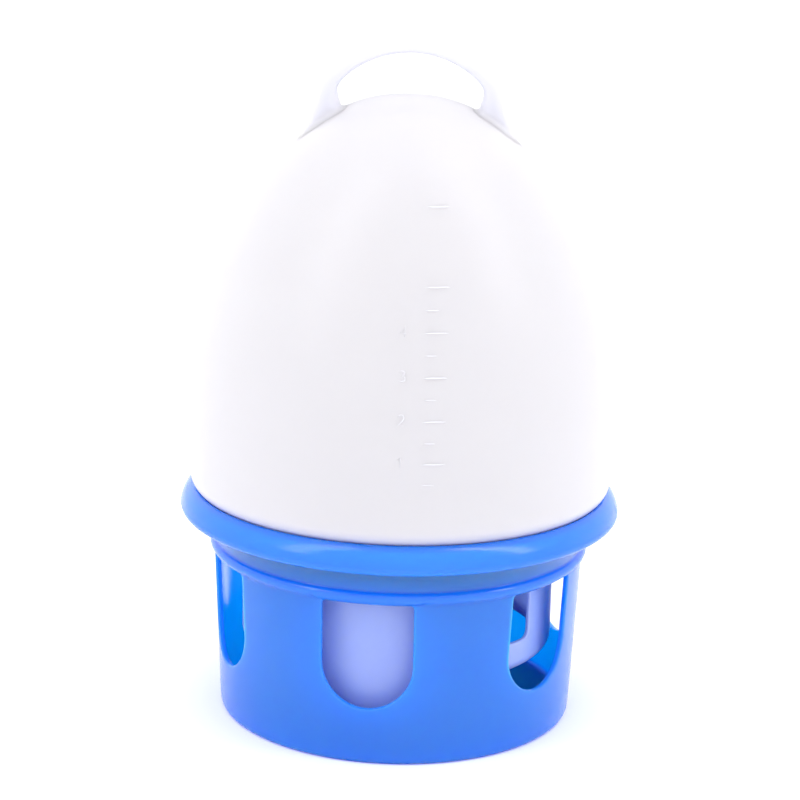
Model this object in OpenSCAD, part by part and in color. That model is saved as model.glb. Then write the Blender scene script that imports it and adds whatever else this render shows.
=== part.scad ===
// Gravity drinker for pigeons and poultry: a white egg-shaped water bottle with a
// handle stands in the flared collar of a round blue drinking base. The bottle's
// neck holds a slotted outlet cap, whose throat sets the water level in the base.

/* [Drinking base] */
// Radius of the flat that the base stands on
foot_r = 80; // [76:0.5:82]
// Height of the recess inside the foot ring
foot_recess = 1; // [0.5:0.1:1.6]
// Outer radius of the wall, carried down to the ground
wall_low_r = 82.5; // [82:0.1:84]
// Outer radius of the wall at the top of the windows
wall_top_r = 86.1; // [85:0.1:87]
// Thickness of the wall
wall_t = 2.8; // [2.4:0.1:3.2]
// Height of the floor inside the base
floor_z = 3.2; // [2.6:0.1:4]
// Radius between the floor and the wall
floor_fillet = 3; // [1:0.5:5]

/* [Drinking windows] */
// Number of windows around the base
window_count = 6; // [4:1:6]
// Turn of the first window from the front, towards the right
window_turn = -8.7; // [-30:0.1:30]
// Width of a window
window_w = 41; // [34:0.5:44]
// Lowest point of a window
sill_z = 26.7; // [22:0.1:32]
// Flat top of a window
window_top_z = 76.5; // [70:0.5:78]

/* [Collar] */
// How far the bead above the windows stands out of the wall
bead_out = 1.9; // [1:0.1:2.2]
// Radius of the collar's crest, where the bottle rests
crest_r = 95.7; // [95.5:0.1:96]
// Height of the collar's crest
crest_z = 107.8; // [107.5:0.1:108]
// Radius of the centre of the rounded lower lip
lip_r = 99; // [98.5:0.1:99.5]
// Height of the centre of the rounded lower lip
lip_z = 98.4; // [98:0.1:98.8]
// Outer radius of the lip's rounding
lip_round = 3.1; // [2.8:0.1:3.4]
// Thickness of the folded lip
lip_t = 2.4; // [2:0.1:2.6]

/* [Bottle] */
// Largest outer radius of the bottle
bottle_r = 97.6; // [97:0.1:98]
// Height at which the bottle starts to close towards the dome
belt_z = 145; // [138:1:155]
// Top of the dome
dome_z = 289; // [270:1:296]
// Fullness of the shoulder of the egg, in height
egg_height_power = 1.67; // [1.5:0.01:1.8]
// Fullness of the shoulder of the egg, in radius
egg_radius_power = 2.23; // [2.1:0.01:2.4]
// Radius of the bottle's lower edge
edge_round = 7.8; // [7:0.1:8]
// Flat underside of the bottle
underside_z = 87; // [86.5:0.1:88]
// Wall of the bottle
bottle_t = 2; // [1.6:0.1:2.6]

/* [Neck and cap] */
// Outer radius of the neck
neck_r = 58; // [54:0.5:60]
// Radius of the bore of the neck
neck_bore_r = 54; // [50:0.5:55]
// Lower end of the neck
neck_z = 79; // [78.5:0.1:80]
// Thickness of the sealing ring
gasket_t = 2.4; // [2:0.1:3]
// Outer radius of the cap's slotted skirt
skirt_r = 72.8; // [70:0.2:74]
// Lower rim of the skirt
skirt_z = 33; // [32:0.5:38]
// Radius with which the skirt rolls in at its lower rim
skirt_round = 5; // [3.5:0.5:7]
// Thickness of the cap's walls
cap_t = 2.3; // [2:0.1:2.8]
// Number of slots in the skirt
slot_count = 4; // [3:1:4]
// Width of a slot
slot_w = 37.7; // [30:0.1:42]
// Turn of the first slot from the front, towards the right
slot_turn = 41.5; // [30:0.5:60]
// Lowest point of a slot
slot_z = 47; // [44:0.5:52]
// Lower end of the two guards, in front of and behind the throat
guard_z = 20; // [18:0.5:24]
// Turn of the front guard from the front, towards the right
guard_turn = -3.5; // [-8:0.5:0]
// Half the turn that a guard covers
guard_half_turn = 28; // [20:1:29]
// Outer radius of the throat
throat_r = 53; // [46:0.5:53.5]
// Mouth of the throat, which sets the water level
throat_z = 12; // [11:0.5:16]

/* [Carry handle] */
// Top of the handle
handle_z = 314.8; // [308:0.2:320]
// Thickness of the strap at its top
strap_t = 6.5; // [5:0.1:8]
// Depth of the strap from front to back
strap_depth = 13; // [10:0.5:18]
// Radius of the arch over the top
arch_r = 54; // [50:0.5:60]
// Half width of the handle at its shoulders
shoulder_half = 43; // [40:0.5:44]
// Half width of the handle at its feet
foot_half = 47.6; // [46:0.1:49]
// Half width of the finger gap
gap_half = 32.8; // [28:0.2:34]

/* [Hidden] */
$fn = 96;

// Clearance between the resting bottle and the collar
seat_gap = 0.35;
// Running clearance between the neck and the cap
thread_gap = 0.1;
// Reach of cuts past the faces that they go through
past = 1;
base_blue = [0.2, 0.5, 0.99];
bottle_white = [0.97, 0.97, 0.99];
cap_white = [0.9, 0.91, 0.99];
seal_grey = [0.35, 0.36, 0.38];

// Points of an arc, from angle a0 to angle a1
function arc(c, r, a0, a1, n = 8) =
    [for (i = [0:n]) let (a = a0 + (a1 - a0) * i / n) [c[0] + r * cos(a), c[1] + r * sin(a)]];

// Points of a curve that leaves p0 towards p1 and comes to p2, without p0 itself
function curve(p0, p1, p2, n = 8) =
    [for (i = [1:n]) let (t = i / n) (1 - t) * (1 - t) * p0 + 2 * t * (1 - t) * p1 + t * t * p2];

function move(points, by) = [for (p = points) p + by];

// ---- Drinking base ----

wall_slope = (wall_top_r - wall_low_r) / window_top_z;
function wall_r(z) = wall_low_r + wall_slope * z;

foot_round = wall_r(0) - foot_r;
bead_half = 2.9;
bead_z = window_top_z + 0.6 + bead_half;
bead_round = (bead_out * bead_out + bead_half * bead_half) / (2 * bead_out);
bead_turn = asin(bead_half / bead_round);
flare_low = [wall_r(bead_z), bead_z + bead_half];
flare_high = [92.2, 96.5];
fold_top = [96.2, crest_z - 3.5];
lip = [lip_r, lip_z];
lip_lean = 25;
lip_side = lip + lip_round * [cos(lip_lean), sin(lip_lean)];
crest = [crest_r, crest_z];

// Shape of the bottle's shoulder inside the collar, which the funnel follows
edge_centre = [bottle_r - edge_round, 113.6];
edge_turn = -60;
edge_end = edge_centre + edge_round * [cos(edge_turn), sin(edge_turn)];
plug_bend = edge_end - [2.7, 1.6];
plug_low = [88, 95];
seat_step = seat_gap * 1.15 * [0.5, -0.87];

base_outside = concat(
    [[0, foot_recess], [foot_r - 6, foot_recess], [foot_r - 5, 0]],
    arc([foot_r, foot_round], foot_round, -90, 0, 5),
    arc([wall_r(bead_z) + bead_out - bead_round, bead_z], bead_round, -bead_turn, bead_turn, 8),
    curve(flare_low, [87, 90], flare_high),
    curve(flare_high, [94.6, 102.9], fold_top, 5),
    curve(fold_top, [98.9, 102.4], lip + (lip_round - lip_t) * [cos(lip_lean), sin(lip_lean)], 5),
    arc(lip, lip_round - lip_t, 0, -90, 3),
    arc(lip, lip_round, -90, lip_lean, 10),
    curve(lip_side, [100.6, 105.2], crest));
base_inside = concat(
    move([edge_end], seat_step),
    curve(edge_end + seat_step, plug_bend + seat_step, plug_low + [0.4, -0.1]),
    [flare_low - [wall_t, 0], [wall_r(bead_z) - wall_t, bead_z]],
    arc([wall_r(floor_z) - wall_t - floor_fillet, floor_z + floor_fillet], floor_fillet, 0, -90, 6),
    [[0, floor_z]]);

module window_outline() {
    half = window_w / 2;
    translate([0, sill_z + half])
        circle(half);
    translate([-half, sill_z + half])
        square([window_w, window_top_z - sill_z - half]);
}

module drinking_base() {
    color(base_blue)
        difference() {
            rotate_extrude()
                polygon(concat(base_outside, base_inside));
            for (i = [0:window_count - 1])
                rotate([90, 0, window_turn + i * 360 / window_count])
                    translate([0, 0, wall_low_r - 3 * wall_t])
                        linear_extrude(6 * wall_t)
                            window_outline();
        }
}

// ---- Water bottle ----

egg_steps = 22;
function egg(r, z, inset) =
    [for (i = [0:egg_steps]) let (a = 90 * i / egg_steps)
        [(r - inset) * pow(cos(a), 2 / egg_radius_power),
         z + (dome_z - inset - z) * pow(sin(a), 2 / egg_height_power)]];

heel_round = 4;
heel_r = plug_low[0] - 2.1 - heel_round;
bottle_outside = concat(
    [[neck_r, neck_z], [neck_r, underside_z]],
    arc([heel_r, underside_z + heel_round], heel_round, -90, 0, 5),
    [plug_low],
    curve(plug_low, plug_bend, edge_end),
    arc(edge_centre, edge_round, edge_turn + 6, 0, 7),
    egg(bottle_r, belt_z, 0));
bottle_hollow = concat(
    [[neck_bore_r, neck_z], [neck_bore_r, underside_z + bottle_t]],
    arc([heel_r, underside_z + heel_round], heel_round - bottle_t, -90, 0, 5),
    [plug_low - [bottle_t, 0]],
    curve(plug_low - [bottle_t, 0], plug_bend - [bottle_t, -0.4], edge_end - [1.2, -1.6]),
    arc(edge_centre, edge_round - bottle_t, edge_turn + 6, 0, 7),
    egg(bottle_r, belt_z, bottle_t));

module bottle_body() {
    rotate_extrude()
        polygon(concat([[0, neck_z]], bottle_outside));
}

module water_bottle() {
    color(bottle_white)
        difference() {
            bottle_body();
            translate([0, 0, -past])
                cylinder(r = neck_bore_r, h = neck_z + 2 * past);
            rotate_extrude()
                polygon(concat([[0, neck_z]], bottle_hollow));
        }
}

// ---- Carry handle, moulded in one with the bottle ----

post_z = 293;
root_z = 262;
function arch(r, top, from, n = 10) =
    let (half_turn = asin(from / r))
    arc([0, top - r], r, 90 - half_turn, 90 + half_turn, 2 * n);

module handle_outline() {
    corner = 37;
    corner_z = handle_z - arch_r + sqrt(arch_r * arch_r - corner * corner);
    polygon(concat(
        [[foot_half, 272.6], [shoulder_half + 0.6, 287], [shoulder_half - 0.6, post_z - 1]],
        curve([shoulder_half - 0.6, post_z - 1], [shoulder_half - 2.4, post_z + 4.6],
              [corner, corner_z], 5),
        arch(arch_r, handle_z, corner - 1),
        [[-corner, corner_z]],
        curve([-corner, corner_z], [2.4 - shoulder_half, post_z + 4.6], [0.6 - shoulder_half, post_z - 1], 5),
        [[-shoulder_half - 0.6, 287], [-foot_half, 272.6], [-foot_half, root_z], [foot_half, root_z]]));
}

module finger_gap() {
    gap_r = arch_r - 10.7;
    end_round = 4.2;
    reach = gap_half - 1.6;
    polygon(concat(
        arch(gap_r, handle_z - strap_t, reach),
        arc([-gap_half + end_round, 290.5], end_round, 170, 235, 5),
        [[-24, root_z], [24, root_z]],
        arc([gap_half - end_round, 290.5], end_round, -55, 10, 5)));
}

module carry_handle() {
    color(bottle_white)
        difference() {
            rotate([90, 0, 0])
                translate([0, 0, -strap_depth / 2])
                    linear_extrude(strap_depth)
                        difference() {
                            handle_outline();
                            finger_gap();
                        }
            bottle_body();
        }
}

// ---- Neck seal and outlet cap ----

deck_z = neck_z - gasket_t - thread_gap;
collar_r = neck_r + thread_gap;

module neck_gasket() {
    color(seal_grey)
        translate([0, 0, deck_z])
            difference() {
                cylinder(r = neck_r - 0.4, h = gasket_t);
                translate([0, 0, -past])
                    cylinder(r = neck_bore_r - 4, h = gasket_t + 2 * past);
            }
}

deck_under = deck_z - cap_t;
roll = [skirt_r - skirt_round, skirt_z + skirt_round];
cap_outline = concat(
    arc(roll, skirt_round - cap_t, 0, -90, 6),
    arc(roll, skirt_round, -90, 0, 8),
    [[skirt_r, deck_z - 2], [skirt_r - 2, deck_z], [throat_r - cap_t, deck_z],
     [throat_r - cap_t, throat_z], [throat_r, throat_z], [throat_r, deck_under],
     [skirt_r - cap_t, deck_under]]);

module slot_outline() {
    corner = 4;
    top = deck_under - 1;
    for (x = [-1, 1], z = [slot_z + corner, top - corner])
        translate([x * (slot_w / 2 - corner), z])
            circle(corner);
    translate([-slot_w / 2, slot_z + corner])
        square([slot_w, top - slot_z - 2 * corner]);
    translate([-slot_w / 2 + corner, slot_z])
        square([slot_w - 2 * corner, top - slot_z]);
}

// Tongues of the skirt that reach down in front of the throat and behind it
module guards() {
    reach = 2 * skirt_r;
    side = reach * tan(guard_half_turn);
    for (back = [0, 180])
        rotate(guard_turn + back)
            intersection() {
                translate([0, 0, guard_z])
                    difference() {
                        cylinder(r = skirt_r, h = roll[1] + 2 - guard_z);
                        translate([0, 0, -past])
                            cylinder(r = skirt_r - cap_t, h = roll[1] + 2 - guard_z + 2 * past);
                    }
                linear_extrude(2 * skirt_z)
                    polygon([[0, 0], [-side, -reach], [side, -reach]]);
            }
}

module cap_shell() {
    guards();
    difference() {
        rotate_extrude()
            polygon(cap_outline);
        for (i = [0:slot_count - 1])
            rotate([90, 0, slot_turn + i * 360 / slot_count])
                translate([0, 0, skirt_r - 10])
                    linear_extrude(14)
                        slot_outline();
    }
}

module thread_collar() {
    translate([0, 0, deck_z])
        difference() {
            cylinder(r = collar_r + 3.2, h = underside_z - 1 - deck_z);
            translate([0, 0, -past])
                cylinder(r = collar_r, h = underside_z - deck_z + past);
        }
}

module outlet_cap() {
    color(cap_white) {
        cap_shell();
        thread_collar();
    }
}

drinking_base();
water_bottle();
carry_handle();
neck_gasket();
outlet_cap();
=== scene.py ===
"""Gravity drinker for pigeons and poultry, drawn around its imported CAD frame.

A white egg-shaped water bottle with a handle stands in the flared collar of a round blue
drinking base. Sizes are in millimetres in the frame's axes and become metres in Skin.make.
"""

import math

import bmesh
import bpy
from mathutils import Matrix, Vector


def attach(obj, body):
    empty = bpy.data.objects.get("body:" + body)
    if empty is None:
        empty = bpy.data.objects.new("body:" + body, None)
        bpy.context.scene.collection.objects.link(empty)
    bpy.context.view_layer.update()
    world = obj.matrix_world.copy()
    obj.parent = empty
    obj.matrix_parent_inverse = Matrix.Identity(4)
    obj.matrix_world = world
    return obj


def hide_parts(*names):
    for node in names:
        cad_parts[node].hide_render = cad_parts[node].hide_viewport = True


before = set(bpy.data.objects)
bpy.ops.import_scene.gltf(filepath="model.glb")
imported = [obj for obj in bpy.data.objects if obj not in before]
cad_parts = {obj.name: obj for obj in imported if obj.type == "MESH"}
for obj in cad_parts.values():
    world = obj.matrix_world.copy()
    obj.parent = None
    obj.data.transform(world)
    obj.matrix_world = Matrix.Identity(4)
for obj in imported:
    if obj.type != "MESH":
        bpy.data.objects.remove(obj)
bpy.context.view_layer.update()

MM = 0.001

# Drinking base
WALL_LOW_R = 82.5
WALL_TOP_R = 86.1
WALL_T = 2.8
FLOOR_Z = 3.2
FLOOR_FILLET = 3.0
FOOT_R = 80.0
FOOT_RECESS = 1.0
BAND_LOW = 17.0
WINDOW_COUNT = 6
WINDOW_TURN = -8.7
WINDOW_W = 41.0
SILL_Z = 26.7
WINDOW_TOP_Z = 76.5
BEAD_OUT = 1.9
BEAD_HALF = 2.9
BEAD_Z = WINDOW_TOP_Z + 0.6 + BEAD_HALF
DENT_Z = 77.6
DENT_DEPTH = 0.75
STREAK_RISE = 0.5
FLARE_HIGH = (92.2, 96.5)
CREST = (95.7, 107.8)
FOLD_TOP = (96.2, CREST[1] - 3.5)
LIP = (99.0, 98.4)
LIP_ROUND = 3.1
LIP_T = 2.4
LIP_LEAN = 25.0

# Bottle
BOTTLE_R = 97.6
BELT_Z = 145.0
DOME_Z = 289.0
EGG_HEIGHT_POWER = 1.67
EGG_RADIUS_POWER = 2.23
EDGE_ROUND = 7.8
EDGE_CENTRE = (BOTTLE_R - EDGE_ROUND, 113.6)
EDGE_TURN = -60.0
UNDERSIDE_Z = 87.0
HEEL_ROUND = 4.0
PLUG_LOW = (88.0, 95.0)
BOTTLE_T = 2.0
NECK_R = 58.0
NECK_BORE_R = 54.0
NECK_Z = 79.0
THREAD_PITCH = 4.0
THREAD_DEPTH = 0.45
GATE = (-2.7, -20.9, 286.1)

# Cap and seal
DECK_Z = 76.5
CAP_T = 2.3
SKIRT_R = 72.8
SKIRT_Z = 33.0
SKIRT_ROUND = 5.0
THROAT_R = 53.0
THROAT_Z = 12.0
SLOT_COUNT = 4
SLOT_TURN = 41.5
SLOT_W = 37.7
SLOT_Z = 47.0
GUARD_Z = 20.0
GUARD_TURN = -3.5
GUARD_HALF_TURN = 28.0
COLLAR_R = 58.1
COLLAR_T = 3.2
RIB_COUNT = 48
RIB_DEPTH = 0.5

# Handle
HANDLE_Z = 314.8
STRAP_T = 6.5
STRAP_DEPTH = 13.0
ARCH_R = 54.0
GAP_ARCH_R = 43.3


# ---- Outlines: lists of (radius, height) ----

def arc(centre, r, a0, a1, n):
    turns = [math.radians(a0 + (a1 - a0) * i / n) for i in range(n + 1)]
    return [(centre[0] + r * math.cos(a), centre[1] + r * math.sin(a)) for a in turns]


def bend(p0, p1, p2, n):
    """A curve that leaves p0 towards p1 and comes to p2, without p0 itself."""
    out = []
    for i in range(1, n + 1):
        t = i / n
        out.append(tuple((1 - t) ** 2 * a + 2 * t * (1 - t) * b + t * t * c for a, b, c in zip(p0, p1, p2)))
    return out


def line(p0, p1, n):
    """Points from p0 to p1, without p0 itself."""
    return [(p0[0] + (p1[0] - p0[0]) * i / n, p0[1] + (p1[1] - p0[1]) * i / n) for i in range(1, n + 1)]


def shifted(p, dr, dz):
    return (p[0] + dr, p[1] + dz)


def spaced(points, n):
    """n + 1 points at even distances along a polyline."""
    along = [0.0]
    for a, b in zip(points, points[1:]):
        along.append(along[-1] + math.hypot(b[0] - a[0], b[1] - a[1]))
    out = []
    k = 0
    for i in range(n + 1):
        want = along[-1] * i / n
        while k < len(points) - 2 and along[k + 1] < want:
            k += 1
        step = along[k + 1] - along[k]
        t = (want - along[k]) / step if step > 1e-9 else 0.0
        out.append((points[k][0] + (points[k + 1][0] - points[k][0]) * t,
                    points[k][1] + (points[k + 1][1] - points[k][1]) * t))
    return out


# ---- Skins ----

class Skin:
    """Rows of points in millimetres, bridged with quads into one mesh in metres."""

    def __init__(self):
        self.points = []
        self.faces = []

    def row(self, points):
        start = len(self.points)
        self.points += [tuple(p) for p in points]
        return list(range(start, len(self.points)))

    def bridge(self, a, b, closed=True):
        n = len(a)
        for i in range(n if closed else n - 1):
            j = (i + 1) % n
            self.faces.append((a[i], a[j], b[j], b[i]))

    def lathe(self, outline, steps, phase=0.0):
        """Turns an outline about the Z axis. Angles run from the front, -Y, towards +X."""
        last = None
        for r, z in outline:
            ring = self.row(on_ring(r, z, phase + 360.0 * i / steps) for i in range(steps))
            if last:
                self.bridge(last, ring)
            last = ring

    def shift(self, move):
        self.points = [move(Vector(p)) for p in self.points]

    def make(self, name):
        mesh = bpy.data.meshes.new(name)
        mesh.from_pydata([(p[0] * MM, p[1] * MM, p[2] * MM) for p in self.points], [], self.faces)
        work = bmesh.new()
        work.from_mesh(mesh)
        bmesh.ops.remove_doubles(work, verts=work.verts, dist=8e-6)
        bmesh.ops.dissolve_degenerate(work, edges=work.edges, dist=1e-7)
        bmesh.ops.recalc_face_normals(work, faces=work.faces)
        for face in work.faces:
            face.smooth = True
        work.to_mesh(mesh)
        work.free()
        obj = bpy.data.objects.new(name, mesh)
        bpy.context.scene.collection.objects.link(obj)
        return obj


def on_ring(r, z, turn):
    a = math.radians(turn)
    return (r * math.sin(a), -r * math.cos(a), z)


def turned(x, r, z, turn):
    """The point at radius r and height z that lies x beside the line at this turn."""
    y = -math.sqrt(max(r * r - x * x, 0.0))
    a = math.radians(turn)
    return (x * math.cos(a) - y * math.sin(a), x * math.sin(a) + y * math.cos(a), z)


def hole_sides(half, low, top, low_round, top_round, grow):
    """Top, right, bottom and left side of an opening with rounded corners, grown all round."""
    high = arc((half - top_round, top - top_round), top_round + grow, 0, 90, 12)
    deep = arc((half - low_round, low + low_round), low_round + grow, 0, -90, 24)
    top_side = [(-x, z) for x, z in high[6:]] + high[:5:-1]
    right = high[6::-1] + deep[:13]
    bottom = deep[12:] + [(-x, z) for x, z in deep[:11:-1]]
    left = [(-x, z) for x, z in reversed(right)]
    return top_side, right, bottom, left


def holed_wall(skin, outer, inner, count, turn, hole, low, tops, across, up, edge, loops):
    """A ring of wall with one opening in each of count cells.

    outer and inner give the wall's radii at a height, hole(grow) gives an opening's four sides,
    low and tops are the wall's limits, and edge is the radius of the openings' rounded edges.
    """
    half_cell = 180.0 / count

    def sides_of(grow):
        sides = [spaced(s, n)[:-1] for s, n in zip(hole(grow), (across, len(up) - 1, across, len(up) - 1))]
        return sum(sides, [])

    def rim(radius, top):
        heights = [low + (top - low) * u for u in up]
        flat = [(radius(top), -half_cell + 2 * half_cell * i / across, top) for i in range(across)]
        flat += [(radius(z), half_cell, z) for z in heights[:-1]]
        flat += [(radius(low), half_cell - 2 * half_cell * i / across, low) for i in range(across)]
        flat += [(radius(z), -half_cell, z) for z in heights[:0:-1]]
        return [(r * math.sin(math.radians(u)), z) for r, u, z in flat]

    for cell in range(count):
        at = turn + cell * 360.0 / count
        rows = []
        for radius, top, sign in ((outer, tops[0], -1), (inner, tops[1], 1)):
            near, far = sides_of(edge), rim(radius, top)
            side = []
            for k in range(loops, 0, -1):
                t = (k / loops) ** 1.35
                side.append([turned(a[0] + (b[0] - a[0]) * t, radius(a[1] + (b[1] - a[1]) * t),
                                    a[1] + (b[1] - a[1]) * t, at) for a, b in zip(near, far)])
            for phi in (0, 30, 60, 90):
                s, c = math.sin(math.radians(phi)), math.cos(math.radians(phi))
                side.append([turned(x, radius(z) + sign * edge * (1 - c), z, at)
                             for x, z in sides_of(edge * (1 - s))])
            rows += side if sign < 0 else side[::-1]
        last = None
        for points in rows:
            ring = skin.row(points)
            if last:
                skin.bridge(last, ring)
            last = ring


# ---- Drinking base ----

def wall_r(z):
    return WALL_LOW_R + (WALL_TOP_R - WALL_LOW_R) / WINDOW_TOP_Z * z


def bead(z):
    """How far the bead stands out of the wall at a height."""
    round_r = (BEAD_OUT ** 2 + BEAD_HALF ** 2) / (2 * BEAD_OUT)
    away = abs(z - BEAD_Z)
    return math.sqrt(round_r ** 2 - away ** 2) - (round_r - BEAD_OUT) if away < BEAD_HALF else 0.0


def base_wall(z):
    return wall_r(min(z, BEAD_Z)) + bead(z)


def base_bore(z):
    return wall_r(min(z, BEAD_Z)) - WALL_T


def drinking_base():
    across = 56
    steps = WINDOW_COUNT * across
    phase = WINDOW_TURN - 180.0 / WINDOW_COUNT
    flare_low = (wall_r(BEAD_Z), BEAD_Z + BEAD_HALF)
    foot_round = wall_r(0) - FOOT_R
    lip_side = (LIP[0] + LIP_ROUND * math.cos(math.radians(LIP_LEAN)),
                LIP[1] + LIP_ROUND * math.sin(math.radians(LIP_LEAN)))
    under_lip = (LIP[0] + (LIP_ROUND - LIP_T) * math.cos(math.radians(LIP_LEAN)),
                 LIP[1] + (LIP_ROUND - LIP_T) * math.sin(math.radians(LIP_LEAN)))
    foot = ([(0, FOOT_RECESS)] + line((0, FOOT_RECESS), (FOOT_R - 7, FOOT_RECESS), 6)
            + bend((FOOT_R - 7, FOOT_RECESS), (FOOT_R - 6, FOOT_RECESS), (FOOT_R - 5.6, 0.5), 3)
            + bend((FOOT_R - 5.6, 0.5), (FOOT_R - 5.3, 0), (FOOT_R - 4.4, 0), 3)
            + arc((FOOT_R, foot_round), foot_round, -90, 0, 8)
            + line((wall_r(foot_round), foot_round), (wall_r(BAND_LOW), BAND_LOW), 6))
    collar = ([flare_low] + bend(flare_low, (87, 90), FLARE_HIGH, 14)
              + bend(FLARE_HIGH, (94.6, 102.9), FOLD_TOP, 7)
              + bend(FOLD_TOP, (98.9, 102.4), under_lip, 8)
              + arc(LIP, LIP_ROUND - LIP_T, 0, -90, 5)[1:]
              + arc(LIP, LIP_ROUND, -84, LIP_LEAN, 16)
              + bend(lip_side, (100.6, 105.2), shifted(CREST, 0.7, -0.15), 16)
              + bend(shifted(CREST, 0.7, -0.15), shifted(CREST, 0.1, 0.1), shifted(CREST, -0.4, -0.3), 3))
    edge_end = arc(EDGE_CENTRE, EDGE_ROUND, EDGE_TURN, EDGE_TURN, 1)[0]
    seat = shifted(edge_end, 0.2, -0.35)
    plug_end = shifted(PLUG_LOW, 0.4, -0.1)
    bore_top = (flare_low[0] - WALL_T, flare_low[1])
    funnel = (line(collar[-1], seat, 4) + bend(seat, (seat[0] - 2.7, seat[1] - 1.6), plug_end, 10)
              + line(plug_end, bore_top, 6))
    fillet = (wall_r(FLOOR_Z) - WALL_T - FLOOR_FILLET, FLOOR_Z + FLOOR_FILLET)
    band = (base_bore(BAND_LOW), BAND_LOW)
    bowl = ([band] + line(band, (fillet[0] + FLOOR_FILLET, fillet[1]), 5)
            + arc(fillet, FLOOR_FILLET, 0, -90, 10)[1:]
            + line((fillet[0], FLOOR_Z), (0, FLOOR_Z), 12))

    skin = Skin()
    skin.lathe(foot, steps, phase)
    bead_rows = [1 - (1 - k / 14) * 6.0 / (flare_low[1] - BAND_LOW) for k in range(14, -1, -1)]
    up = bead_rows + [bead_rows[-1] * (1 - k / 34) for k in range(1, 35)]
    holed_wall(skin, base_wall, base_bore, WINDOW_COUNT, WINDOW_TURN,
               lambda grow: hole_sides(WINDOW_W / 2, SILL_Z, WINDOW_TOP_Z, WINDOW_W / 2, 1.6, grow),
               BAND_LOW, (flare_low[1], flare_low[1]), across, up, 0.9, 18)
    skin.lathe(collar + funnel, steps, phase)
    skin.lathe(bowl, steps, phase)

    cell = 360.0 / WINDOW_COUNT
    dents = []
    reach = math.degrees(math.asin((WINDOW_W / 2 + 4.4) / WALL_TOP_R))
    for k in range(WINDOW_COUNT):
        for side in (-1, 1):
            dents.append(Vector(on_ring(base_wall(DENT_Z), DENT_Z, WINDOW_TURN + cell * k + side * reach)))
    middles = [WINDOW_TURN + cell * (k + 0.5) for k in range(WINDOW_COUNT)]
    streaks = [Vector(on_ring(101.0, 101.6, turn)) for turn in middles]
    lean = [Vector(on_ring(1, 0, turn + 90)) for turn in middles]

    def mark(p):
        """Dents at the windows' top corners, and a slanting streak on the collar above each pillar."""
        out = Vector((p.x, p.y, 0)).normalized()
        by = 0.0
        for dent in dents:
            if (p - dent).length_squared < 25:
                by -= DENT_DEPTH * math.exp(-(p - dent).length_squared / 2.2)
        for centre, aside in zip(streaks, lean):
            off = p - centre
            if off.length_squared < 100:
                s, t = off.dot(aside), off.z
                s, t = s * 0.86 + t * 0.5, t * 0.86 - s * 0.5
                by += STREAK_RISE * math.exp(-(s / 2.4) ** 2 - (t / 0.9) ** 2)
        return p + out * by

    skin.shift(mark)
    return skin.make("drinking_base_moulding")


# ---- Water bottle ----

def egg(r, top, n):
    out = []
    for i in range(n + 1):
        a = math.radians(90 * (i / n) ** 0.92)
        out.append((r * max(math.cos(a), 0) ** (2 / EGG_RADIUS_POWER),
                    BELT_Z + (top - BELT_Z) * math.sin(a) ** (2 / EGG_HEIGHT_POWER)))
    return out


def egg_r(z):
    """Radius of the bottle's outside at a height."""
    if z <= BELT_Z:
        return BOTTLE_R
    s = min((z - BELT_Z) / (DOME_Z - BELT_Z), 1.0) ** (EGG_HEIGHT_POWER / 2)
    return BOTTLE_R * max(1 - s * s, 0) ** (1 / EGG_RADIUS_POWER)


def egg_z(r):
    """Height of the bottle's dome at a radius."""
    c = (min(r / BOTTLE_R, 1.0)) ** (EGG_RADIUS_POWER / 2)
    return BELT_Z + (DOME_Z - BELT_Z) * (1 - c * c) ** (1 / EGG_HEIGHT_POWER)


def shoulder_of_bottle(inset):
    """The bottle's underside and lower edge, from the neck outwards, set in by a wall."""
    heel_x = PLUG_LOW[0] - 2.1 - HEEL_ROUND
    edge_end = arc(EDGE_CENTRE, EDGE_ROUND - inset * 0.98, EDGE_TURN, EDGE_TURN, 1)[0]
    low = shifted(PLUG_LOW, -inset, 0)
    first = arc((heel_x, UNDERSIDE_Z + HEEL_ROUND), HEEL_ROUND - inset, -90, 0, 6)
    return (first + line(first[-1], low, 3)
            + bend(low, (edge_end[0] - 2.7 + 0.3 * inset, edge_end[1] - 1.6), edge_end, 10)
            + arc(EDGE_CENTRE, EDGE_ROUND - inset, EDGE_TURN + 5, 0, 12)
            + line((BOTTLE_R - inset, EDGE_CENTRE[1]), (BOTTLE_R - inset, BELT_Z), 8)
            + egg(BOTTLE_R - inset, DOME_Z - inset, 64)[1:])


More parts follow.
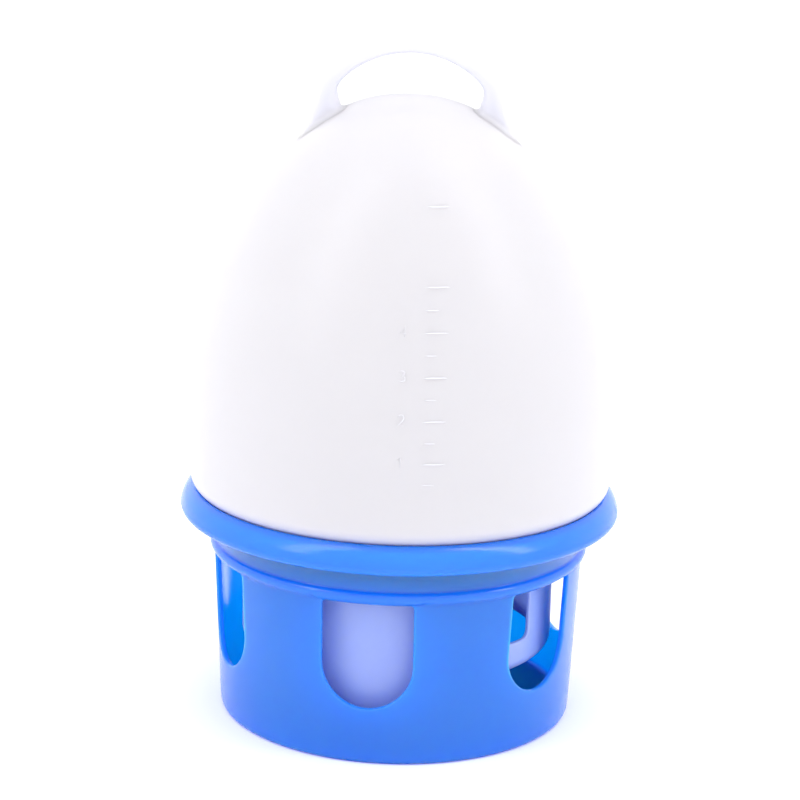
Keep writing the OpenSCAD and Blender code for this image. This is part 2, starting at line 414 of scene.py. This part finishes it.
def water_bottle():
    outside = ([(NECK_R - 0.6, NECK_Z)]
               + bend((NECK_R - 0.6, NECK_Z), (NECK_R, NECK_Z), (NECK_R, NECK_Z + 0.6), 3)
               + line((NECK_R, NECK_Z + 0.6), (NECK_R, UNDERSIDE_Z - 0.5), 12)
               + bend((NECK_R, UNDERSIDE_Z - 0.5), (NECK_R, UNDERSIDE_Z), (NECK_R + 0.5, UNDERSIDE_Z), 3)
               + line((NECK_R + 0.5, UNDERSIDE_Z), (81.9, UNDERSIDE_Z), 6)[:-1]
               + shoulder_of_bottle(0))
    inside = ([(NECK_BORE_R, NECK_Z)] + line((NECK_BORE_R, NECK_Z), (NECK_BORE_R, UNDERSIDE_Z + BOTTLE_T), 5)
              + line((NECK_BORE_R, UNDERSIDE_Z + BOTTLE_T), (81.9, UNDERSIDE_Z + BOTTLE_T), 5)[:-1]
              + shoulder_of_bottle(BOTTLE_T))
    skin = Skin()
    skin.lathe(inside[::-1] + outside, 240)

    # thread: a shallow helical groove in the neck, for looks only
    def cut(p):
        if NECK_Z + 0.8 < p.z < UNDERSIDE_Z - 0.8 and NECK_R - 0.3 < math.hypot(p.x, p.y) < NECK_R + 0.3:
            turn = math.atan2(p.x, -p.y) / (2 * math.pi)
            wave = math.cos(2 * math.pi * (p.z / THREAD_PITCH - turn))
            out = Vector((p.x, p.y, 0)).normalized()
            return p - out * THREAD_DEPTH * max(wave, 0.0)
        return p

    skin.shift(cut)

    # sink mark of the moulding gate near the top of the dome
    gate = Vector(GATE)

    def sink(p):
        d = (p - gate).length
        return p - Vector((0, 0, 1)) * 0.35 * math.exp(-(d / 2.0) ** 2) if d < 6 else p

    skin.shift(sink)
    return skin.make("water_bottle_shell")


def carry_handle():
    """The strap runs over the top in rings and spreads onto the dome at both feet."""
    corner_x = 37.0
    corner_z = HANDLE_Z - ARCH_R + math.sqrt(ARCH_R ** 2 - corner_x ** 2)
    reach = math.degrees(math.asin(corner_x / ARCH_R))
    outer = (arc((0, HANDLE_Z - ARCH_R), ARCH_R, 90, 90 - reach, 20)
             + bend((corner_x, corner_z), (40.6, 297.6), (42.4, 292), 8)
             + line((42.4, 292), (43.6, 286.5), 3) + bend((43.6, 286.5), (44.9, 281), (46.6, 275.4), 6))
    inner_top = HANDLE_Z - STRAP_T
    reach = math.degrees(math.asin(30.4 / GAP_ARCH_R))
    inner = (arc((0, inner_top - GAP_ARCH_R), GAP_ARCH_R, 90, 90 - reach, 20)
             + bend((30.4, 295.5), (32.7, 293.6), (32.8, 290.9), 5)
             + bend((32.8, 290.9), (32.9, 288.2), (31.6, 285.4), 5))
    stations = 30
    outer, inner = spaced(outer, stations), spaced(inner, stations)
    ring_n = 40
    half_depth = STRAP_DEPTH / 2

    def section(o, i, sign):
        points = []
        for k in range(ring_n):
            a = 2 * math.pi * k / ring_n
            c, s = math.cos(a), math.sin(a)
            u = math.copysign(abs(c) ** 0.5, c)
            v = math.copysign(abs(s) ** 0.5, s)
            x = (o[0] + i[0]) / 2 + (o[0] - i[0]) / 2 * u
            z = (o[1] + i[1]) / 2 + (o[1] - i[1]) / 2 * u
            points.append((sign * x, half_depth * v, z))
        return points

    skin = Skin()
    rows = [skin.row(section(outer[k], inner[k], -1)) for k in range(stations, 0, -1)]
    rows += [skin.row(section(outer[k], inner[k], 1)) for k in range(0, stations + 1)]
    for a, b in zip(rows, rows[1:]):
        skin.bridge(a, b)
    for end in (rows[0], rows[-1]):
        contour = [skin.points[i] for i in end]
        mid = (sum(p[0] for p in contour) / ring_n, sum(p[1] for p in contour) / ring_n)
        last = end
        for k in range(1, 11):
            phi = math.radians(min(k * 10, 90))
            ring = []
            for j, (x, y, z) in enumerate(contour):
                before, after = contour[j - 1], contour[(j + 1) % ring_n]
                nx, ny = after[1] - before[1], before[0] - after[0]
                size = math.hypot(nx, ny)
                nx, ny = nx / size, ny / size
                if nx * (x - mid[0]) + ny * (y - mid[1]) < 0:
                    nx, ny = -nx, -ny
                spread = 3.4 * (1 - math.cos(phi)) + (0.5 if k == 10 else 0.0)
                px, py = x + nx * spread, y + ny * spread
                above = z - egg_z(math.hypot(x, y))
                lift = above * (1 - math.sin(phi)) - (0.7 if k == 10 else 0.0)
                ring.append((px, py, egg_z(math.hypot(px, py)) + lift))
            ring = skin.row(ring)
            skin.bridge(last, ring)
            last = ring
        skin.faces.append(tuple(last))
    return skin.make("carry_handle_strap")


def stroke(skin, path, half, rise):
    """A raised line on the bottle's face; path holds (sideways, height) points."""
    n = len(path)
    rows = []
    for k, (s, z) in enumerate(path):
        before, after = path[max(k - 1, 0)], path[min(k + 1, n - 1)]
        ds, dz = after[0] - before[0], after[1] - before[1]
        size = math.hypot(ds, dz) or 1.0
        ns, nz = -dz / size, ds / size
        taper = 0.35 if k in (0, n - 1) else 1.0
        row = []
        for u, h in ((-1, -0.25), (-0.8, 0.45), (-0.4, 0.9), (0, 1), (0.4, 0.9), (0.8, 0.45), (1, -0.25)):
            px, pz = s + ns * u * half * taper, z + nz * u * half * taper
            r = egg_r(pz)
            rho = r + (h * rise * (1.0 if taper == 1.0 else 0.3))
            a = px / r
            row.append((rho * math.sin(a), -rho * math.cos(a), pz))
        for u in (0.5, -0.5):
            px, pz = s + ns * u * half * taper, z + nz * u * half * taper
            r = egg_r(pz)
            row.append(((r - 0.4) * math.sin(px / r), -(r - 0.4) * math.cos(px / r), pz))
        rows.append(skin.row(row))
    for a, b in zip(rows, rows[1:]):
        skin.bridge(a, b)
    skin.faces.append(tuple(rows[0]))
    skin.faces.append(tuple(reversed(rows[-1])))


def digit(skin, value, s, z, size):
    """A plain numeral drawn with raised lines, size high, with its lower left corner at (s, z)."""
    w, h = size * 0.55, size
    shapes = {
        "1": [[(0.15, 0.78), (0.55, 1.0), (0.55, 0.0)]],
        "2": [[(0.0, 0.75), (0.12, 0.94), (0.5, 1.0), (0.88, 0.92), (1.0, 0.72), (0.85, 0.5),
               (0.0, 0.0), (1.0, 0.0)]],
        "3": [[(0.0, 0.88), (0.45, 1.0), (0.9, 0.9), (0.92, 0.66), (0.45, 0.53), (0.95, 0.4), (0.95, 0.12),
               (0.45, 0.0), (0.0, 0.12)]],
        "4": [[(0.78, 0.0), (0.78, 1.0), (0.0, 0.32), (1.0, 0.32)]],
    }
    for path in shapes[value]:
        stroke(skin, [(s + x * w, z + y * h) for x, y in path], 0.32, 0.16)


def level_scale():
    """Moulded level marks on the front of the bottle: short bars beside plain numerals."""
    skin = Skin()
    step = 18.5
    for k in range(5):
        z = 144.8 + step * k
        bar = [(9.2 + 9.8 * i / 6, z) for i in range(7)]
        stroke(skin, bar, 0.36, 0.18)
        half = [(9.2 + 5.2 * i / 4, z - step / 2) for i in range(5)]
        stroke(skin, half, 0.30, 0.15)
        if k < 4:
            digit(skin, str(k + 1), -1.6, z - 1.6, 4.6)
    stroke(skin, [(9.0 + 9.0 * i / 6, 250.5) for i in range(7)], 0.36, 0.18)
    return skin.make("level_scale_marks")


# ---- Neck seal and outlet cap ----

def hem(skin, rolled, tongue, steps, phase):
    """The skirt's lower rim: rolled in, except where the two guards reach down as tongues."""
    last = None
    for roll_at, tongue_at in zip(rolled, tongue):
        points = []
        for i in range(steps):
            turn = phase + 360.0 * i / steps
            off = abs((turn - GUARD_TURN + 90) % 180 - 90)
            t = min(max((GUARD_HALF_TURN - off) / 1.4 + 0.5, 0.0), 1.0)
            r, z = (a + (b - a) * t for a, b in zip(roll_at, tongue_at))
            points.append(on_ring(r, z, turn))
        ring = skin.row(points)
        if last:
            skin.bridge(last, ring)
        last = ring


def outlet_cap():
    across = 66
    steps = SLOT_COUNT * across
    phase = SLOT_TURN - 180.0 / SLOT_COUNT
    under = DECK_Z - CAP_T
    roll = (SKIRT_R - SKIRT_ROUND, SKIRT_Z + SKIRT_ROUND)
    low = SLOT_Z - 6.0
    inner_r = SKIRT_R - CAP_T
    top_out, top_in = DECK_Z - 2.0, under - 0.2
    bore = THROAT_R - CAP_T
    half_t = CAP_T / 2
    rim_r = roll[0] - 1.1
    above = ([(SKIRT_R, top_out)] + bend((SKIRT_R, top_out), (SKIRT_R, DECK_Z), (SKIRT_R - 2, DECK_Z), 6)
             + line((SKIRT_R - 2, DECK_Z), (bore + 0.6, DECK_Z), 8)
             + bend((bore + 0.6, DECK_Z), (bore, DECK_Z), (bore, DECK_Z - 0.6), 3)
             + line((bore, DECK_Z - 0.6), (bore, THROAT_Z + 0.8), 14)
             + bend((bore, THROAT_Z + 0.8), (bore, THROAT_Z), (THROAT_R - half_t, THROAT_Z), 4)
             + bend((THROAT_R - half_t, THROAT_Z), (THROAT_R, THROAT_Z), (THROAT_R, THROAT_Z + 0.8), 4)
             + line((THROAT_R, THROAT_Z + 0.8), (THROAT_R, under - 1.5), 14)
             + bend((THROAT_R, under - 1.5), (THROAT_R, under), (THROAT_R + 1.5, under), 4)
             + line((THROAT_R + 1.5, under), (inner_r - 0.2, under), 6)
             + [(inner_r, top_in)])
    below = ([(inner_r, low)] + line((inner_r, low), (inner_r, roll[1]), 3)
             + arc(roll, SKIRT_ROUND - CAP_T, 0, -90, 8)[1:]
             + bend((roll[0], SKIRT_Z + CAP_T), (rim_r, SKIRT_Z + CAP_T), (rim_r, SKIRT_Z + half_t), 4)
             + bend((rim_r, SKIRT_Z + half_t), (rim_r, SKIRT_Z), (roll[0], SKIRT_Z), 4)
             + arc(roll, SKIRT_ROUND, -90, 0, 12)[1:] + line((SKIRT_R, roll[1]), (SKIRT_R, low), 3))
    tongue = ([(inner_r, low)] + line((inner_r, low), (inner_r, roll[1]), 3)
              + line((inner_r, roll[1]), (inner_r, GUARD_Z + half_t), 8)
              + bend((inner_r, GUARD_Z + half_t), (inner_r, GUARD_Z), (inner_r + half_t, GUARD_Z), 4)
              + bend((inner_r + half_t, GUARD_Z), (SKIRT_R, GUARD_Z), (SKIRT_R, GUARD_Z + half_t), 4)
              + line((SKIRT_R, GUARD_Z + half_t), (SKIRT_R, roll[1]), 12)
              + line((SKIRT_R, roll[1]), (SKIRT_R, low), 3))
    skin = Skin()
    skin.lathe(above, steps, phase)
    hem(skin, below, tongue, steps, phase)
    up = [1 - k / 22 for k in range(23)]
    holed_wall(skin, lambda z: SKIRT_R, lambda z: inner_r, SLOT_COUNT, SLOT_TURN,
               lambda grow: hole_sides(SLOT_W / 2, SLOT_Z, under - 1.0, 4.0, 3.2, grow),
               low, (top_out, top_in), across, up, 0.55, 9)

    # thread collar on the deck, with grip ribs round its outside
    far = COLLAR_R + COLLAR_T
    top = UNDERSIDE_Z - 1.0
    collar = ([(COLLAR_R, DECK_Z - 0.3)] + line((COLLAR_R, DECK_Z - 0.3), (COLLAR_R, top - 0.6), 8)
              + bend((COLLAR_R, top - 0.6), (COLLAR_R, top), (COLLAR_R + 0.6, top), 3)
              + line((COLLAR_R + 0.6, top), (far - 0.8, top), 2)
              + bend((far - 0.8, top), (far, top), (far, top - 0.8), 4)
              + line((far, top - 0.8), (far, DECK_Z - 0.3), 6)
              + line((far, DECK_Z - 0.3), (COLLAR_R, DECK_Z - 0.3), 2))
    skin.lathe(collar, 288)

    def rib(p):
        if abs(math.hypot(p.x, p.y) - far) >= 0.1 or p.z <= DECK_Z:
            return p
        fade = max(0.0, min(1.0, (top - p.z) / 1.5, p.z - DECK_Z))
        wave = 0.5 + 0.5 * math.cos(RIB_COUNT * math.atan2(p.x, -p.y))
        return p - Vector((p.x, p.y, 0)).normalized() * RIB_DEPTH * fade * wave

    skin.shift(rib)
    return skin.make("outlet_cap_moulding")


def neck_seal():
    low, top = DECK_Z + 0.02, NECK_Z - 0.12
    outer, inner = NECK_R - 0.5, NECK_BORE_R - 3.9
    section = []
    soft = 0.7
    for cx, cz, a0 in ((outer - soft, top - soft, 90), (inner + soft, top - soft, 180),
                       (inner + soft, low + soft, 270), (outer - soft, low + soft, 360)):
        section += arc((cx, cz), soft, a0 - 90, a0, 5)
    skin = Skin()
    skin.lathe(section + section[:1], 160)
    return skin.make("neck_seal_ring")


# ---- Materials ----

class Nodes:
    """Short names for adding and wiring shader nodes."""

    def __init__(self, name):
        self.material = bpy.data.materials.new(name)
        self.material.use_nodes = True
        self.tree = self.material.node_tree
        self.tree.nodes.clear()
        self.out = self.add("ShaderNodeOutputMaterial")
        self.where = self.add("ShaderNodeTexCoord").outputs["Object"]

    def add(self, kind, **sockets):
        node = self.tree.nodes.new(kind)
        for key, value in sockets.items():
            self.put(node.inputs[key.replace("_", " ")], value)
        return node

    def put(self, socket, value):
        if isinstance(value, bpy.types.NodeSocket):
            self.tree.links.new(value, socket)
        else:
            socket.default_value = value

    def noise(self, scale, detail=3.0, rough=0.5):
        node = self.add("ShaderNodeTexNoise", Vector=self.where, Scale=scale, Detail=detail, Roughness=rough)
        return node.outputs["Fac"]

    def span(self, value, low, high, from_low=0.3, from_high=0.7):
        node = self.add("ShaderNodeMapRange", Value=value)
        limits = {"From Min": from_low, "From Max": from_high, "To Min": low, "To Max": high}
        for key, number in limits.items():
            node.inputs[key].default_value = number
        return node.outputs["Result"]

    def blend(self, fac, a, b):
        node = self.tree.nodes.new("ShaderNodeMix")
        node.data_type = "RGBA"
        self.put(node.inputs[0], fac)
        self.put(node.inputs[6], a)
        self.put(node.inputs[7], b)
        return node.outputs[2]

    def bump(self, height, strength, distance):
        node = self.add("ShaderNodeBump", Height=height, Strength=strength, Distance=distance)
        return node.outputs["Normal"]

    def surface(self, shader):
        self.tree.links.new(shader, self.out.inputs["Surface"])
        return self.material


def rgb(r, g, b):
    return (r, g, b, 1.0)


def blue_plastic():
    """Glossy moulded polypropylene: faint flow clouding, a soft orange peel and small scuffs."""
    n = Nodes("base_plastic_blue")
    cloud = n.noise(14.0, 4.0)
    colour = n.blend(n.span(cloud, 0.0, 1.0), rgb(0.007, 0.134, 0.99), rgb(0.011, 0.150, 0.995))
    rough = n.span(n.noise(60.0, 4.0, 0.6), 0.14, 0.22)
    peel = n.bump(n.noise(420.0, 2.0), 0.12, 0.0002)
    shader = n.add("ShaderNodeBsdfPrincipled", Base_Color=colour, Roughness=rough, Normal=peel)
    shader.inputs["IOR"].default_value = 1.49
    shader.inputs["Subsurface Weight"].default_value = 1.0
    shader.inputs["Subsurface Radius"].default_value = (0.20, 0.75, 1.0)
    shader.inputs["Subsurface Scale"].default_value = 0.027
    return n.surface(shader.outputs["BSDF"])


def milky_plastic(name, pale, shade, low_rough, high_rough, depth):
    """Translucent blow-moulded polyethylene: milky clouding under a satin skin."""
    n = Nodes(name)
    cloud = n.noise(9.0, 5.0)
    colour = n.blend(n.span(cloud, 0.0, 1.0), shade, pale)
    rough = n.span(n.noise(75.0, 4.0, 0.6), low_rough, high_rough)
    skin = n.bump(n.noise(300.0, 3.0), 0.10, 0.00025)
    shader = n.add("ShaderNodeBsdfPrincipled", Base_Color=colour, Roughness=rough, Normal=skin)
    shader.inputs["IOR"].default_value = 1.5
    shader.inputs["Subsurface Weight"].default_value = depth
    shader.inputs["Subsurface Radius"].default_value = (0.9, 0.95, 1.0)
    shader.inputs["Subsurface Scale"].default_value = 0.012
    return n.surface(shader.outputs["BSDF"])


def seal_rubber():
    n = Nodes("seal_rubber_grey")
    grain = n.noise(900.0, 3.0)
    colour = n.blend(n.span(n.noise(60.0), 0.0, 1.0), rgb(0.030, 0.031, 0.034), rgb(0.050, 0.051, 0.055))
    shader = n.add("ShaderNodeBsdfPrincipled", Base_Color=colour, Roughness=n.span(grain, 0.6, 0.8),
                   Normal=n.bump(grain, 0.3, 0.0002))
    return n.surface(shader.outputs["BSDF"])


def floor_paper():
    n = Nodes("floor_paper")
    colour = n.blend(n.span(n.noise(3.0, 2.0), 0.0, 1.0), rgb(0.93, 0.93, 0.935), rgb(0.95, 0.95, 0.955))
    shader = n.add("ShaderNodeBsdfPrincipled", Base_Color=colour)
    shader.inputs["Roughness"].default_value = 0.9
    shader.inputs["Specular IOR Level"].default_value = 0.1
    return n.surface(shader.outputs["BSDF"])


def dress(obj, material, body, slot, *nodes):
    obj.data.materials.clear()
    obj.data.materials.append(material)
    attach(obj, body)
    if nodes:
        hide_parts(*nodes)
    return obj


# ---- Studio ----

def floor():
    skin = Skin()
    size, n = 6000.0, 24
    rows = [skin.row((-size + 2 * size * i / n, -size + 2 * size * k / n, 0.0) for i in range(n + 1))
            for k in range(n + 1)]
    for a, b in zip(rows, rows[1:]):
        skin.bridge(a, b, closed=False)
    obj = skin.make("studio_floor")
    obj.data.materials.append(floor_paper())


def soft_light(name, turn, rise, away, size, power, colour, aim=(0, 0, 0.16)):
    light = bpy.data.lights.new(name, "AREA")
    light.shape = "RECTANGLE"
    light.size, light.size_y = size
    light.energy = power
    light.color = colour
    obj = bpy.data.objects.new(name, light)
    a, e = math.radians(turn), math.radians(rise)
    target = Vector(aim)
    direction = Vector((math.sin(a) * math.cos(e), -math.cos(a) * math.cos(e), math.sin(e)))
    obj.location = target + direction * away
    obj.rotation_euler = (target - obj.location).to_track_quat("-Z", "Y").to_euler()
    bpy.context.scene.collection.objects.link(obj)


def studio():
    world = bpy.data.worlds.new("studio_white")
    world.use_nodes = True
    world.node_tree.nodes["Background"].inputs["Color"].default_value = (0.97, 0.97, 1.0, 1.0)
    world.node_tree.nodes["Background"].inputs["Strength"].default_value = 1.48
    bpy.context.scene.world = world
    soft_light("softbox_left", -55, 44, 1.6, (0.40, 1.7), 6.0, (1.0, 0.99, 1.0))
    soft_light("softbox_right", 69, 44, 1.6, (0.28, 1.7), 6.5, (1.0, 0.99, 1.0))
    bpy.context.scene.view_settings.view_transform = "Standard"
    bpy.context.scene.view_settings.look = "None"


def camera():
    data = bpy.data.cameras.new("camera")
    data.sensor_width = 36.0
    data.lens = 115.1
    data.clip_end = 50.0
    obj = bpy.data.objects.new("camera", data)
    bpy.context.scene.collection.objects.link(obj)
    pitch, yaw, roll = math.radians(15.07), math.radians(-0.05), math.radians(1.55)
    look = Vector((math.sin(yaw) * math.cos(pitch), math.cos(yaw) * math.cos(pitch), -math.sin(pitch)))
    level = look.cross(Vector((0, 0, 1))).normalized()
    high = level.cross(look)
    right = level * math.cos(roll) + high * math.sin(roll)
    up = high * math.cos(roll) - level * math.sin(roll)
    turn = Matrix((right, up, -look)).transposed().to_4x4()
    obj.matrix_world = Matrix.Translation((0.0, -1.1445, 0.4553)) @ turn
    bpy.context.scene.camera = obj


# ---- The drinker ----

blue = blue_plastic()
bottle_tones = rgb(0.655, 0.652, 0.690), rgb(0.641, 0.638, 0.682)
white = milky_plastic("bottle_plastic_white", *bottle_tones, 0.30, 0.42, 0.85)
# The handle is moulded in one with the bottle from the same plastic. Its darker base colour is painted
# shade, set below the bottle's so the top of the strap, lit from above, does not burn out white.
handle_painted_shade_tones = rgb(0.600, 0.597, 0.640), rgb(0.586, 0.583, 0.630)
handle_painted_shade = milky_plastic("handle_plastic_painted_shade", *handle_painted_shade_tones, 0.30, 0.42, 0.85)
mark_white = milky_plastic("bottle_plastic_marks", *bottle_tones, 0.30, 0.42, 0.0)
# The cap is white plastic. Its lavender-blue base colour is painted shade: the blue-tinted, dimmed light
# that reaches it through the blue base is baked into its colour.
cap_painted_blue_shade_tones = rgb(0.30, 0.39, 0.99), rgb(0.28, 0.37, 0.985)
cap_painted_blue_shade = milky_plastic("cap_plastic_painted_blue_shade", *cap_painted_blue_shade_tones, 0.32, 0.44, 0.85)

camera()
studio()
floor()
dress(drinking_base(), blue, "base", "base_plastic", "drinking_base")
dress(water_bottle(), white, "fount", "bottle_plastic", "water_bottle")
dress(carry_handle(), handle_painted_shade, "fount", "bottle_plastic", "carry_handle")
dress(level_scale(), mark_white, "fount", "bottle_plastic")
dress(outlet_cap(), cap_painted_blue_shade, "cap", "cap_plastic", "outlet_cap")
dress(neck_seal(), seal_rubber(), "seal", "seal_rubber", "neck_gasket")
